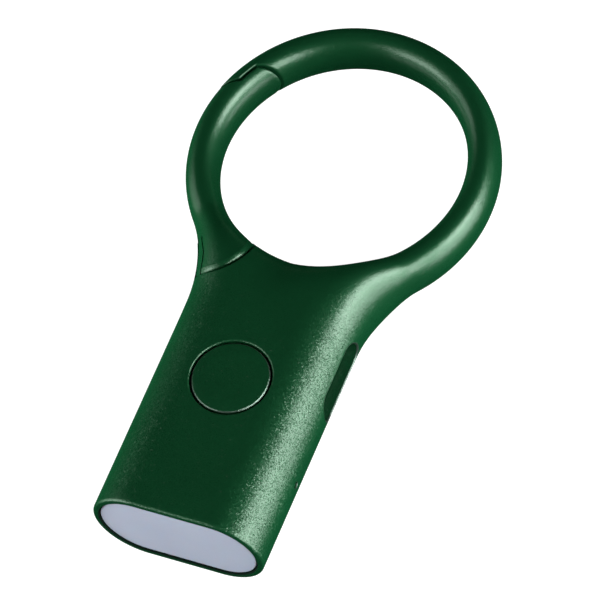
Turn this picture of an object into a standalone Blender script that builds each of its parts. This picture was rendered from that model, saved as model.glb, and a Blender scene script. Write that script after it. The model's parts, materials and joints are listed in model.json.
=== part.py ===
"""Rechargeable keychain torch whose body ends in a carabiner ring with a snap gate.

Units are metres. The torch lies on its flat back: +Y runs from the lamp to the ring, +X is the side
of the charging slot, and +Z is the side of the push button. The origin is under the middle of the
bounding box, on the surface that the torch lies on.
"""

import math

import bmesh
import bpy
import numpy as np

MM = 0.001
COLLECTION = "keychain_torch"

# Outside of the body and ring
OVERALL_LENGTH = 74.66 * MM
BODY_WIDTH = 22.36 * MM
BODY_THICKNESS = 12.66 * MM
RIM_ROUNDING = 0.4 * MM
RING_FROM_LAMP = 55.0 * MM  # centre of the hole
RING_INNER_RADIUS = 15.55 * MM
RING_OUTER_RADIUS = 19.81 * MM
RING_OUTER_SHIFT = -0.15 * MM  # the outer circle sits a little nearer the body than the hole
RING_HALF_THICKNESS = 3.35 * MM
RING_SECTION_POWER = 2.157  # superellipse exponent of the ring's section, 2 is an ellipse
FLARE_RADIUS = {1: 15.7 * MM, -1: 19.2 * MM}  # concave fillets from body to ring, by side
HOLE_ROLL = 8.1 * MM  # radius over which the front falls away to the hole
THICKENING_WIDTH = 7.0 * MM  # half width of section at which the full body thickness is reached
THICKENING_PACE = 0.19
BLEND = 1.0 * MM
SPLIT_FROM_LAMP = 26.5 * MM  # the body is an even prism up to here

# Gate
GAP = 0.26 * MM
HINGE_X = -9.6 * MM
HINGE_FROM_LAMP = 37.9 * MM
HEEL_RADIUS = 4.65 * MM
TIP_RADIUS = 26.88 * MM  # about the hinge
FINGER_RADIUS = 17.53 * MM  # about the ring: the tip lies inside this, the nose lip outside it
GATE_INSET = 0.08 * MM
TONGUE_RADIUS = 3.13 * MM
TONGUE_HALF_THICKNESS = 2.5 * MM
PIN_RADIUS = 1.0 * MM
PIN_BOTTOM = 2.0 * MM
PIN_TOP = 10.0 * MM
SPRING_WIRE = 0.36 * MM
SPRING_RADIUS = 1.55 * MM
SPRING_TURNS = 4
SPRING_PITCH = 0.48 * MM
SPRING_BODY_LEG = 2.6 * MM
SPRING_GATE_LEG = 4.4 * MM
SPRING_ROOM_HALF = 1.35 * MM
GATE_LEG_REACH = 4.9 * MM

# Openings of the body
WINDOW_HALF_WIDTH = 10.36 * MM
WINDOW_HALF_THICKNESS = 5.45 * MM
WINDOW_DEPTH = 3.0 * MM
CAVITY_HALF_WIDTH = 9.6 * MM
CAVITY_HALF_THICKNESS = 4.75 * MM
CAVITY_DEPTH = 31.5 * MM
BUTTON_FROM_LAMP = 19.8 * MM
BUTTON_RADIUS = 4.88 * MM
BUTTON_HOLE_RADIUS = 5.12 * MM
SLOT_FROM_LAMP = 26.15 * MM
SLOT_LENGTH = 10.7 * MM
SLOT_HEIGHT = 4.3 * MM
INDICATOR_FROM_LAMP = 11.08 * MM
INDICATOR_RADIUS = 0.42 * MM
INDICATOR_HEIGHT = 6.65 * MM

# Inside
SMALL_GAP = 0.12 * MM
BOARD_THICKNESS = 0.8 * MM
BOARD_BOTTOM = 8.1 * MM
LED_COUNT = 6
LED_SPACING = 2.5 * MM

# Derived places
LAMP_END = -OVERALL_LENGTH / 2
MID_HEIGHT = BODY_THICKNESS / 2
SIDE_RADIUS = BODY_THICKNESS / 2
HALF_WIDTH = BODY_WIDTH / 2
FLAT_HALF = HALF_WIDTH - SIDE_RADIUS
RING_Y = LAMP_END + RING_FROM_LAMP
SPLIT_Y = LAMP_END + SPLIT_FROM_LAMP
HINGE = (HINGE_X, LAMP_END + HINGE_FROM_LAMP)
BOARD_TOP = BOARD_BOTTOM + BOARD_THICKNESS

COLOURS = {
    "green_metal": ((0.004, 0.055, 0.024), 0.42, 0.75),
    "steel": ((0.62, 0.62, 0.60), 0.3, 1.0),
    "frost": ((0.46, 0.50, 0.62), 0.55, 0.0),
    "clear": ((0.8, 0.9, 0.85), 0.2, 0.0),
    "white_plastic": ((0.85, 0.85, 0.83), 0.5, 0.0),
    "black_plastic": ((0.02, 0.02, 0.022), 0.5, 0.0),
    "grey_plastic": ((0.18, 0.18, 0.19), 0.6, 0.0),
    "board": ((0.01, 0.11, 0.05), 0.45, 0.0),
    "silicone": ((0.05, 0.05, 0.055), 0.8, 0.0),
    "pouch": ((0.55, 0.56, 0.58), 0.35, 0.9),
    "foam": ((0.06, 0.06, 0.06), 0.95, 0.0),
    "red_wire": ((0.5, 0.02, 0.02), 0.5, 0.0),
    "black_wire": ((0.015, 0.015, 0.015), 0.5, 0.0),
    "led": ((0.85, 0.75, 0.25), 0.4, 0.0),
    "ceramic": ((0.35, 0.27, 0.18), 0.5, 0.0),
}


# Scene helpers


def clear_scene():
    for obj in list(bpy.data.objects):
        bpy.data.objects.remove(obj, do_unlink=True)


def new_collection(name):
    found = bpy.data.collections.new(name)
    bpy.context.scene.collection.children.link(found)
    return found


def material(key):
    """The named finish, made once."""
    name = "mat_" + key
    if name in bpy.data.materials:
        return bpy.data.materials[name]
    colour, roughness, metallic = COLOURS[key]
    made = bpy.data.materials.new(name)
    made.use_nodes = True
    shader = made.node_tree.nodes["Principled BSDF"]
    shader.inputs["Base Color"].default_value = (*colour, 1.0)
    shader.inputs["Roughness"].default_value = roughness
    shader.inputs["Metallic"].default_value = metallic
    made.diffuse_color = (*colour, 1.0)
    return made


def object_from(name, bm, finish=None, location=(0.0, 0.0, 0.0), smooth=True):
    """Links the bmesh as an object: a part if it has a finish, or else a hidden cutter."""
    bmesh.ops.recalc_face_normals(bm, faces=bm.faces)
    mesh = bpy.data.meshes.new(name)
    bm.to_mesh(mesh)
    bm.free()
    if smooth:
        mesh.shade_smooth()
        mesh.set_sharp_from_angle(angle=math.radians(35))
    obj = bpy.data.objects.new(name, mesh)
    obj.location = location
    if finish is None:
        obj.hide_render = True
        obj.display_type = "WIRE"
        bpy.data.collections["cutters"].objects.link(obj)
    else:
        mesh.materials.append(material(finish))
        bpy.data.collections[COLLECTION].objects.link(obj)
    return obj


def boolean(obj, other, operation="DIFFERENCE"):
    modifier = obj.modifiers.new(operation.lower(), "BOOLEAN")
    modifier.operation = operation
    modifier.solver = "EXACT"
    modifier.object = other


def bevel(obj, width, segments=1):
    modifier = obj.modifiers.new("bevel", "BEVEL")
    modifier.width = width
    modifier.segments = segments
    modifier.limit_method = "ANGLE"


def arc(centre, radius, start, end, steps):
    """Points from start to end, in degrees, on a circle."""
    angles = np.radians(np.linspace(start, end, steps + 1))
    return [(centre[0] + radius * math.cos(a), centre[1] + radius * math.sin(a)) for a in angles]


def prism(name, outline, low, high, axis="Z", finish=None):
    """The outline extruded from low to high along an axis. Its points are (x, y), (x, z) or (y, z)."""
    place = {
        "Z": lambda u, v: (u, v, low),
        "Y": lambda u, v: (u, low, v),
        "X": lambda u, v: (low, u, v),
    }[axis]
    shift = {"Z": (0, 0, high - low), "Y": (0, high - low, 0), "X": (high - low, 0, 0)}[axis]
    bm = bmesh.new()
    face = bm.faces.new([bm.verts.new(place(u, v)) for u, v in outline])
    grown = bmesh.ops.extrude_face_region(bm, geom=[face])
    moved = [item for item in grown["geom"] if isinstance(item, bmesh.types.BMVert)]
    bmesh.ops.translate(bm, vec=shift, verts=moved)
    return object_from(name, bm, finish)


def box(name, size, centre, finish=None, rounding=0.0, segments=1):
    """A block with its edges rounded by the given width."""
    bm = bmesh.new()
    bmesh.ops.create_cube(bm, size=1.0)
    bmesh.ops.scale(bm, vec=size, verts=bm.verts)
    obj = object_from(name, bm, finish, centre, smooth=rounding > 0)
    if rounding:
        bevel(obj, rounding, segments)
    return obj


def disc(name, radius, low, high, centre, finish=None, segments=32):
    """An upright cylinder from height low to high."""
    bm = bmesh.new()
    bmesh.ops.create_cone(
        bm, cap_ends=True, segments=segments, radius1=radius, radius2=radius, depth=high - low
    )
    return object_from(name, bm, finish, (centre[0], centre[1], (low + high) / 2))


def wire(name, points, radius, finish):
    """A round wire along the points, with closed ends, as a mesh."""
    curve = bpy.data.curves.new(name, "CURVE")
    curve.dimensions = "3D"
    curve.bevel_depth = radius
    curve.bevel_resolution = 1
    curve.use_fill_caps = True
    spline = curve.splines.new("POLY")
    spline.points.add(len(points) - 1)
    for point, place in zip(spline.points, points):
        point.co = (*place, 1.0)
    guide = bpy.data.objects.new(name + "_guide", curve)
    bpy.data.collections["cutters"].objects.link(guide)
    graph = bpy.context.evaluated_depsgraph_get()
    mesh = bpy.data.meshes.new_from_object(guide.evaluated_get(graph))
    bm = bmesh.new()
    bm.from_mesh(mesh)
    bmesh.ops.remove_doubles(bm, verts=bm.verts, dist=1e-6)
    bpy.data.objects.remove(guide, do_unlink=True)
    return object_from(name, bm, finish)


def curved(points, steps):
    """Points every step along a smooth Catmull-Rom curve through the given points."""
    ends = [points[0]] + list(points) + [points[-1]]
    control = np.array(ends, float)
    made = []
    for i in range(1, len(control) - 2):
        before, here, there, after = control[i - 1 : i + 3]
        for t in np.linspace(0, 1, steps, endpoint=False):
            made.append(
                0.5
                * (
                    2 * here
                    + (there - before) * t
                    + (2 * before - 5 * here + 4 * there - after) * t**2
                    + (3 * here - before - 3 * there + after) * t**3
                )
            )
    made.append(control[-2])
    return [tuple(place) for place in made]


def stadium(half_width, half_height, centre=(0.0, MID_HEIGHT), steps=8):
    """A slot-shaped outline with round ends."""
    flat = half_width - half_height
    right = arc((centre[0] + flat, centre[1]), half_height, -90, 90, steps)
    left = arc((centre[0] - flat, centre[1]), half_height, 90, 270, steps)
    return right + left


# The outer surface: half thickness over the plan of body and ring


def smooth_min(a, b):
    share = np.clip(0.5 + 0.5 * (b - a) / BLEND, 0, 1)
    return b * (1 - share) + a * share - BLEND * share * (1 - share)


def flare_centre(side):
    """Centre of the concave fillet that is tangent to the body's side and the ring's outer circle."""
    radius = FLARE_RADIUS[side]
    across = HALF_WIDTH + radius
    along = math.sqrt((RING_OUTER_RADIUS + radius) ** 2 - across**2)
    return across, RING_Y + RING_OUTER_SHIFT - along


def from_edge(x, y):
    """Distance inside the plan outline: body sides, fillets and the ring's outer circle."""
    ring_y = RING_Y + RING_OUTER_SHIFT
    inside = np.empty_like(x)
    for side in (1, -1):
        here = x * side >= 0
        across, along = flare_centre(side)
        u, v = np.abs(x[here]), y[here]
        to_ring = RING_OUTER_RADIUS - np.hypot(u, v - ring_y)
        to_flare = np.hypot(u - across, v - along) - FLARE_RADIUS[side]
        beside_ring = np.arctan2(v - ring_y, u) > math.atan2(along - ring_y, across)
        inside[here] = np.where(beside_ring, to_ring, np.where(v < along, HALF_WIDTH - u, to_flare))
    return inside


def half_thickness(x, y, inset=0.0):
    """Height of the surface above the middle plane, zero along the outline and the hole."""
    outer = np.maximum(from_edge(x, y) - inset, 0)
    inner = np.maximum(np.hypot(x, y - RING_Y) - RING_INNER_RADIUS, 0)
    half = (outer + inner) / 2
    thin = (RING_OUTER_RADIUS - RING_INNER_RADIUS) / 2
    t = np.clip((half - thin) / (THICKENING_WIDTH - thin), 0, 1)
    grown = 1 - (1 - t) ** 2 * THICKENING_PACE / (t + THICKENING_PACE)
    height = RING_HALF_THICKNESS + (SIDE_RADIUS - RING_HALF_THICKNESS) * grown
    power = RING_SECTION_POWER + (2 - RING_SECTION_POWER) * grown
    outer_roll = np.maximum(smooth_min(half, SIDE_RADIUS), 1e-9)
    inner_roll = np.maximum(smooth_min(half, HOLE_ROLL), 1e-9)
    share = np.minimum(outer / outer_roll, inner / inner_roll)
    return height * (1 - (1 - np.clip(share, 0, 1)) ** power) ** (1 / power)


def reach(angle, inset):
    """Length of the ray at an angle from the ring's centre to the outline."""
    low, high = RING_INNER_RADIUS, 2 * OVERALL_LENGTH
    for _ in range(60):
        middle = (low + high) / 2
        x = np.array([middle * math.cos(angle)])
        y = np.array([RING_Y + middle * math.sin(angle)])
        inside = from_edge(x, y)[0] > inset and y[0] > SPLIT_Y
        low, high = (middle, high) if inside else (low, middle)
    return low


def shell(name, inset, finish, side_steps=8, flat_steps=4, ring_steps=58, radial_steps=9):
    """Body and ring as one closed surface. The ring part is a fan of rays round the hole, from the hole to
    the outline, and the rays that end on the split line go on along the body to its rounded rim."""
    roll = SIDE_RADIUS - inset
    side = [FLAT_HALF + roll * math.cos(a) for a in np.linspace(0, math.pi / 2, side_steps + 1)]
    flat = list(np.linspace(FLAT_HALF, -FLAT_HALF, flat_steps + 1)[1:-1])
    columns = np.array(side + flat + [-x for x in reversed(side)])
    fan = np.arctan2(SPLIT_Y - RING_Y, columns)
    round_the_ring = np.linspace(fan[-1], fan[0] - 2 * math.pi, ring_steps + 1)[1:-1]
    angles = np.concatenate([fan, round_the_ring])
    lengths = [math.hypot(x, SPLIT_Y - RING_Y) for x in columns]
    lengths += [reach(a, inset) for a in round_the_ring]
    count = len(columns)

    fractions = (1 - np.cos(np.linspace(0, math.pi, radial_steps + 1))) / 2
    radii = RING_INNER_RADIUS + (np.array(lengths)[:, None] - RING_INNER_RADIUS) * fractions
    x = radii * np.cos(angles)[:, None]
    y = RING_Y + radii * np.sin(angles)[:, None]
    height = half_thickness(x.ravel(), y.ravel(), inset).reshape(x.shape)

    bm = bmesh.new()
    top, bottom = [], []
    for i in range(len(angles)):
        upper, lower = [], []
        for k in range(radial_steps + 1):
            in_body = 0 < i < count - 1 and k == radial_steps
            on_edge = k == 0 or (k == radial_steps and not in_body)
            rise = 0.0 if on_edge else height[i, k]
            upper.append(bm.verts.new((x[i, k], y[i, k], MID_HEIGHT + rise)))
            if on_edge:
                lower.append(upper[-1])
            else:
                lower.append(bm.verts.new((x[i, k], y[i, k], MID_HEIGHT - rise)))
        top.append(upper)
        bottom.append(lower)
    for sheet in (top, bottom):
        for i in range(len(angles)):
            here, there = sheet[i], sheet[(i + 1) % len(angles)]
            for k in range(radial_steps):
                bm.faces.new((here[k], here[k + 1], there[k + 1], there[k]))

    loop = [top[i][-1] for i in range(count)] + [bottom[i][-1] for i in range(count - 2, 0, -1)]
    section = [vert.co.copy() for vert in loop]
    for turn in np.linspace(0, math.pi / 2, 4):
        inwards = RIM_ROUNDING * (1 - math.cos(turn))
        share = (SIDE_RADIUS - inwards) / SIDE_RADIUS
        level = LAMP_END + RIM_ROUNDING * (1 - math.sin(turn))
        row = []
        for place in section:
            centre = min(max(place.x, -FLAT_HALF), FLAT_HALF)
            across = centre + (place.x - centre) * share
            rise = MID_HEIGHT + (place.z - MID_HEIGHT) * share
            row.append(bm.verts.new((across, level, rise)))
        for i in range(len(loop)):
            j = (i + 1) % len(loop)
            bm.faces.new((loop[i], loop[j], row[j], row[i]))
        loop = row
    bm.faces.new(loop)
    return object_from(name, bm, finish)


# The gate and what it swings in


def about_hinge(radius, start, end, steps):
    return arc(HINGE, radius, start, end, steps)


def about_ring(radius, start, end, steps):
    return arc((0.0, RING_Y), radius, start, end, steps)


def gate_region(name, grow):
    """Plan of the gate: round heel, ring arm, tip finger inside the nose lip. It is grown by half the gap
    for the space in the housing, and shrunk by it for the gate."""
    inner_edge = about_ring(RING_INNER_RADIUS - 1.6 * MM, 236, 142, 12)
    tip = about_hinge(TIP_RADIUS + grow, 93, 99.6, 4)
    finger = about_ring(FINGER_RADIUS + grow, 148.6, 157.5, 4)
    ramp = about_ring(RING_OUTER_RADIUS + 0.6 * MM + 1.2 * grow, 167, 167, 0)
    outer_edge = about_ring(RING_OUTER_RADIUS + 3.2 * MM, 172, 214, 7)
    left = about_hinge(8.0 * MM, 165, 165, 0) + about_hinge(8.0 * MM, 205, 205, 0)
    bottom = about_hinge(HEEL_RADIUS + grow, -135, 44, 22)
    prism(name, inner_edge + tip + finger + ramp + outer_edge + left + bottom, -MM, 14 * MM)
    return bpy.data.objects[name]


def tongue(name, grow, outer_angle, inner_angle):
    """The housing's hinge tongue between the gate's two cheeks, rounded about the hinge."""
    nose = about_hinge(TONGUE_RADIUS + grow, outer_angle, inner_angle, 14)
    root = about_hinge(7.0 * MM, inner_angle, outer_angle - 360, 20)
    half = TONGUE_HALF_THICKNESS + grow
    return prism(name, nose + root, MID_HEIGHT - half, MID_HEIGHT + half)


def spring_path():
    """A coil round the pin, one leg down into the body and one up into the gate."""
    height = SPRING_TURNS * SPRING_PITCH
    low = MID_HEIGHT - height / 2
    steps = SPRING_TURNS * 12 + 1
    points = []
    for i in range(steps + 1):
        angle = math.radians(30 * i)
        across = HINGE[0] + SPRING_RADIUS * math.cos(angle)
        along = HINGE[1] + SPRING_RADIUS * math.sin(angle)
        points.append((across, along, low + height * i / steps))
    body_leg = (points[0][0], points[0][1] - SPRING_BODY_LEG, points[0][2])
    lean = math.radians(120)
    across = points[-1][0] + SPRING_GATE_LEG * math.cos(lean)
    along = points[-1][1] + SPRING_GATE_LEG * math.sin(lean)
    return [body_leg] + points + [(across, along, points[-1][2])]


def spring_room():
    """Room in the tongue for the coil and its legs. The gate's leg needs a mouth as wide as the swing."""
    half = SPRING_ROOM_HALF
    coil = disc("spring_pocket_cutter", 2.05 * MM, MID_HEIGHT - half, MID_HEIGHT + half, HINGE, segments=24)
    half -= 0.05 * MM
    mouth = about_hinge(6.0 * MM, 50, 112, 6) + about_hinge(0.6 * MM, 261, 261, 0)
    mouth_cutter = prism("spring_mouth_cutter", mouth, MID_HEIGHT - half, MID_HEIGHT + half)
    size = (0.7 * MM, SPRING_BODY_LEG + 0.5 * MM, 2 * half - 0.1 * MM)
    place = (HINGE[0] + SPRING_RADIUS, HINGE[1] - size[1] / 2 + 0.1 * MM, MID_HEIGHT)
    return coil, mouth_cutter, box("spring_leg_cutter", size, place)


def build_housing():
    housing = shell("housing", 0.0, "green_metal")
    window = stadium(WINDOW_HALF_WIDTH, WINDOW_HALF_THICKNESS)
    boolean(housing, prism("window_cutter", window, LAMP_END - MM, LAMP_END + WINDOW_DEPTH, "Y"))
    cavity = stadium(CAVITY_HALF_WIDTH, CAVITY_HALF_THICKNESS)
    boolean(housing, prism("cavity_cutter", cavity, LAMP_END - 0.5 * MM, LAMP_END + CAVITY_DEPTH, "Y"))
    centre = (0.0, LAMP_END + BUTTON_FROM_LAMP)
    boolean(housing, disc("button_cutter", BUTTON_HOLE_RADIUS, 10 * MM, 14 * MM, centre, segments=48))
    slot = stadium(SLOT_LENGTH / 2, SLOT_HEIGHT / 2, (LAMP_END + SLOT_FROM_LAMP, MID_HEIGHT))
    boolean(housing, prism("slot_cutter", slot, 7.5 * MM, 13 * MM, "X"))
    spot = arc((LAMP_END + INDICATOR_FROM_LAMP, INDICATOR_HEIGHT), INDICATOR_RADIUS, 0, 330, 11)
    boolean(housing, prism("indicator_cutter", spot, 8 * MM, 13 * MM, "X"))
    space = gate_region("gate_space_cutter", GAP / 2)
    boolean(space, tongue("tongue_left_standing", -GAP / 2, 169, 33))
    boolean(housing, space)
    boolean(housing, disc("pin_bore_cutter", PIN_RADIUS + 0.15 * MM, -MM, 9.5 * MM, HINGE, segments=20))
    for cutter in spring_room():
        boolean(housing, cutter)
    return housing


def build_gate():
    gate = shell("gate", GATE_INSET, "green_metal")
    boolean(gate, gate_region("gate_plan_cutter", -GAP / 2), "INTERSECT")
    boolean(gate, tongue("gate_fork_cutter", GAP / 2, 165, 62))
    boolean(gate, disc("gate_bore_cutter", PIN_RADIUS + 0.15 * MM, -MM, PIN_TOP + 0.3 * MM, HINGE, segments=20))
    leg_room = about_hinge(GATE_LEG_REACH, 97, 112, 2) + about_hinge(2.5 * MM, 112, 70, 4)
    low, high = MID_HEIGHT - SPRING_ROOM_HALF, MID_HEIGHT + SPRING_ROOM_HALF
    boolean(gate, prism("gate_leg_cutter", leg_room, low, high))
    hinge = bpy.data.objects.new("gate_hinge_axis", None)
    hinge.location = (*HINGE, MID_HEIGHT)
    bpy.data.collections[COLLECTION].objects.link(hinge)
    gate.parent = hinge
    gate.matrix_parent_inverse.translation = [-value for value in hinge.location]
    disc("gate_pin", PIN_RADIUS, PIN_BOTTOM, PIN_TOP, HINGE, "steel", 16)
    wire("gate_spring", spring_path(), SPRING_WIRE / 2, "steel")


# Button and switch


def turned(name, profile, centre, finish, segments=40):
    """The profile of (radius, height) points spun round. It runs from the axis at the top, down its outer
    side, to the axis again, or it is a loop clear of the axis."""
    mesh = bpy.data.meshes.new(name)
    points = [(radius, 0.0, height) for radius, height in profile]
    edges = [(i, i + 1) for i in range(len(points) - 1)]
    if profile[0][0] > 0:
        edges.append((len(points) - 1, 0))
    mesh.from_pydata(points, edges, [])
    mesh.materials.append(material(finish))
    obj = bpy.data.objects.new(name, mesh)
    obj.location = (*centre, 0.0)
    bpy.data.collections[COLLECTION].objects.link(obj)
    screw = obj.modifiers.new("turn", "SCREW")
    screw.steps = segments
    screw.render_steps = segments
    screw.use_merge_vertices = True
    screw.merge_threshold = 1e-6
    screw.use_smooth_shade = True
    return obj


def ring_profile(inner, outer, low, high):
    """A loop for a flat ring, down its outer side first."""
    return [(inner, high), (outer, high), (outer, low), (inner, low)]


def build_button():
    centre = (0.0, LAMP_END + BUTTON_FROM_LAMP)
    face = BODY_THICKNESS - 0.04 * MM
    edge = 0.25 * MM
    under_wall = MID_HEIGHT + CAVITY_HALF_THICKNESS - 0.15 * MM
    profile = [
        (0.0, face - 0.06 * MM),
        (3.0 * MM, face - 0.05 * MM),
        (BUTTON_RADIUS - edge, face),
        (BUTTON_RADIUS, face - edge),
        (BUTTON_RADIUS, under_wall),
        (5.6 * MM, under_wall),
        (5.6 * MM, 10.45 * MM),
        (1.3 * MM, 10.45 * MM),
        (1.1 * MM, 10.2 * MM),
        (0.0, 10.2 * MM),
    ]
    turned("button_cap", profile, centre, "green_metal", 48)
    turned("button_seal", ring_profile(3.4 * MM, 4.3 * MM, 9.05 * MM, 10.0 * MM), centre, "silicone", 24)

    base = box("switch_base", (4.2 * MM, 3.6 * MM, 0.75 * MM), (*centre, 9.4 * MM), "black_plastic")
    boolean(base, disc("dome_room_cutter", 1.62 * MM, 9.25 * MM, 9.65 * MM, centre, segments=20))
    boolean(base, disc("plunger_bore_cutter", 1.05 * MM, 9.5 * MM, 10 * MM, centre, segments=20))
    plunger = [(0.0, 10.08 * MM), (0.9 * MM, 10.08 * MM), (0.9 * MM, 9.62 * MM), (0.0, 9.62 * MM)]
    turned("switch_plunger", plunger, centre, "grey_plastic", 20)
    dome = [(0.0, 9.57 * MM), (0.8 * MM, 9.53 * MM), (1.5 * MM, 9.36 * MM), (1.5 * MM, 9.3 * MM)]
    dome += [(0.8 * MM, 9.46 * MM), (0.0, 9.5 * MM)]
    turned("switch_dome", dome, centre, "steel", 20)


# Lamp end


def frame_ring(name, outer, inner, start, end, finish):
    """A stadium-shaped frame between two distances from the lamp end."""
    frame = prism(name, stadium(*outer), LAMP_END + start, LAMP_END + end, "Y", finish)
    hollow = stadium(*inner)
    boolean(frame, prism(name + "_cutter", hollow, LAMP_END + start - MM, LAMP_END + end + MM, "Y"))
    return frame


def build_lamp():
    window = stadium(WINDOW_HALF_WIDTH - 0.15 * MM, WINDOW_HALF_THICKNESS - 0.15 * MM, steps=10)
    diffuser = prism("diffuser", window, LAMP_END + 0.35 * MM, LAMP_END + 2.35 * MM, "Y", "frost")
    bevel(diffuser, 0.2 * MM)
    gasket_inner = (9.0 * MM, 4.2 * MM)
    frame_ring("diffuser_gasket", (10.1 * MM, 5.2 * MM), gasket_inner, 2.47 * MM, 2.88 * MM, "silicone")
    frame_ring(
        "light_cup", (9.45 * MM, 4.6 * MM), (8.6 * MM, 3.75 * MM), 3.05 * MM, 4.7 * MM, "white_plastic"
    )
    board = stadium(9.3 * MM, 4.45 * MM)
    prism("led_board", board, LAMP_END + 4.85 * MM, LAMP_END + 5.65 * MM, "Y", "board")
    for i in range(LED_COUNT):
        across = (i - (LED_COUNT - 1) / 2) * LED_SPACING
        place = (across, LAMP_END + 4.45 * MM, MID_HEIGHT)
        box(f"led_{i + 1}", (1.5 * MM, 0.55 * MM, 2.4 * MM), place, "led", 0.08 * MM)


# Board, battery and socket


def on_board(name, size, x, from_lamp, finish, below=False):
    """A block component on the top or the underside of the board."""
    away = SMALL_GAP + size[2] / 2
    height = BOARD_BOTTOM - away if below else BOARD_TOP + away
    return box(name, size, (x, LAMP_END + from_lamp, height), finish)


def build_board():
    length = 24.6 * MM
    centre_y = LAMP_END + 18.5 * MM
    centre = (0.0, centre_y, BOARD_BOTTOM + BOARD_THICKNESS / 2)
    board = box("main_board", (17.0 * MM, length, BOARD_THICKNESS), centre, "board")
    screws = ((5.4 * MM, 9.0 * MM), (5.4 * MM, 19.2 * MM))
    frame = build_frame(screws)
    for number, (x, from_lamp) in enumerate(screws, 1):
        place = (x, LAMP_END + from_lamp)
        hole = disc(f"screw_hole_cutter_{number}", 0.62 * MM, 5.0 * MM, 10 * MM, place, segments=12)
        boolean(board, hole)
        boolean(frame, hole)
        head = [
            (0.0, 9.75 * MM),
            (0.8 * MM, 9.7 * MM),
            (0.95 * MM, 9.55 * MM),
            (0.95 * MM, 9.02 * MM),
            (0.5 * MM, 9.02 * MM),
            (0.5 * MM, 5.2 * MM),
            (0.0, 5.2 * MM),
        ]
        turned(f"board_screw_{number}", head, place, "steel", 12)
    on_board("charge_chip", (3.0 * MM, 3.0 * MM, 0.9 * MM), -5.8 * MM, 26.6 * MM, "black_plastic")
    on_board("driver_chip", (2.9 * MM, 1.7 * MM, 1.0 * MM), 4.2 * MM, 13.2 * MM, "black_plastic", True)
    on_board("inductor", (3.0 * MM, 3.0 * MM, 1.5 * MM), 4.6 * MM, 16.0 * MM, "ceramic", True)
    on_board("capacitor_1", (1.0 * MM, 1.9 * MM, 0.8 * MM), -5.4 * MM, 10.5 * MM, "ceramic")
    on_board("capacitor_2", (1.9 * MM, 1.0 * MM, 0.8 * MM), 3.4 * MM, 28.6 * MM, "ceramic")
    led_y = INDICATOR_FROM_LAMP
    on_board("indicator_led", (1.0 * MM, 1.6 * MM, 0.9 * MM), 7.6 * MM, led_y, "led", True)
    pipe = arc((LAMP_END + led_y, INDICATOR_HEIGHT), 0.3 * MM, 0, 330, 11)
    prism("light_pipe", pipe, 8.3 * MM, 10.75 * MM, "X", "clear")


def build_frame(screws):
    """The moulded tray: a floor under the battery, and posts that the board is screwed to."""
    centre = (0.0, LAMP_END + 18.5 * MM, 2.1 * MM)
    frame = box("inner_frame", (10.4 * MM, 24.4 * MM, 0.6 * MM), centre, "black_plastic")
    for number, (x, from_lamp) in enumerate(screws, 1):
        size = (2.8 * MM, 3.0 * MM, 6.1 * MM)
        place = (x - 0.4 * MM, LAMP_END + from_lamp, 4.95 * MM)
        boolean(frame, box(f"post_{number}_join", size, place), "UNION")
    return frame


def build_battery():
    """Pouch cell with its protection board and two leads to the main board."""
    place = (-2.7 * MM, LAMP_END + 18.9 * MM, 5.3 * MM)
    box("battery_cell", (9.8 * MM, 21.8 * MM, 4.8 * MM), place, "pouch", 1.1 * MM, 2)
    pad = (-0.6 * MM, LAMP_END + 18.9 * MM, 2.65 * MM)
    box("battery_pad", (8.0 * MM, 16.0 * MM, 0.26 * MM), pad, "foam")
    strip = (-2.7 * MM, LAMP_END + 7.25 * MM, 5.4 * MM)
    box("battery_board", (6.0 * MM, 0.7 * MM, 3.2 * MM), strip, "board")
    for name, x, finish in (
        ("battery_lead_positive", -6.3 * MM, "red_wire"),
        ("battery_lead_negative", 0.9 * MM, "black_wire"),
    ):
        inwards = 0.45 * MM if x < 0 else -0.45 * MM
        route = [
            (x + inwards, LAMP_END + 6.45 * MM, 4.6 * MM),
            (x, LAMP_END + 6.15 * MM, 5.6 * MM),
            (x - inwards, LAMP_END + 5.95 * MM, 7.6 * MM),
            (x - inwards, LAMP_END + 6.0 * MM, 9.0 * MM),
            (x - inwards, LAMP_END + 6.9 * MM, 9.45 * MM),
            (x - inwards, LAMP_END + 8.2 * MM, 9.3 * MM),
        ]
        wire(name, curved(route, 3), 0.22 * MM, finish)


def build_led_leads():
    """Two short leads from the back of the lamp board over the edge of the main board."""
    for number, x in enumerate((-3.2 * MM, 3.2 * MM), 1):
        route = [
            (x, LAMP_END + 5.95 * MM, 8.3 * MM),
            (x, LAMP_END + 5.98 * MM, 9.4 * MM),
            (x, LAMP_END + 6.7 * MM, 9.9 * MM),
            (x, LAMP_END + 7.8 * MM, 9.4 * MM),
        ]
        wire(f"led_lead_{number}", curved(route, 3), 0.2 * MM, "red_wire" if number == 1 else "black_wire")


def build_socket():
    """Charging socket: a drawn steel shell, open to +X, round a contact tongue."""
    centre = (LAMP_END + SLOT_FROM_LAMP, MID_HEIGHT)
    outer = stadium(4.47 * MM, 1.6 * MM, centre, 6)
    inner = stadium(4.17 * MM, 1.28 * MM, centre, 6)
    usb = prism("usb_shell", outer, 2.9 * MM, 9.3 * MM, "X", "steel")
    boolean(usb, prism("usb_hollow_cutter", inner, 3.9 * MM, 11 * MM, "X"))
    size = (5.0 * MM, 6.6 * MM, 0.7 * MM)
    box("usb_tongue", size, (6.7 * MM, centre[0], MID_HEIGHT), "black_plastic", 0.12 * MM)


def main():
    clear_scene()
    new_collection(COLLECTION)
    new_collection("cutters").hide_render = True
    build_housing()
    build_gate()
    build_button()
    build_lamp()
    build_board()
    build_battery()
    build_led_leads()
    build_socket()


main()
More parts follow.
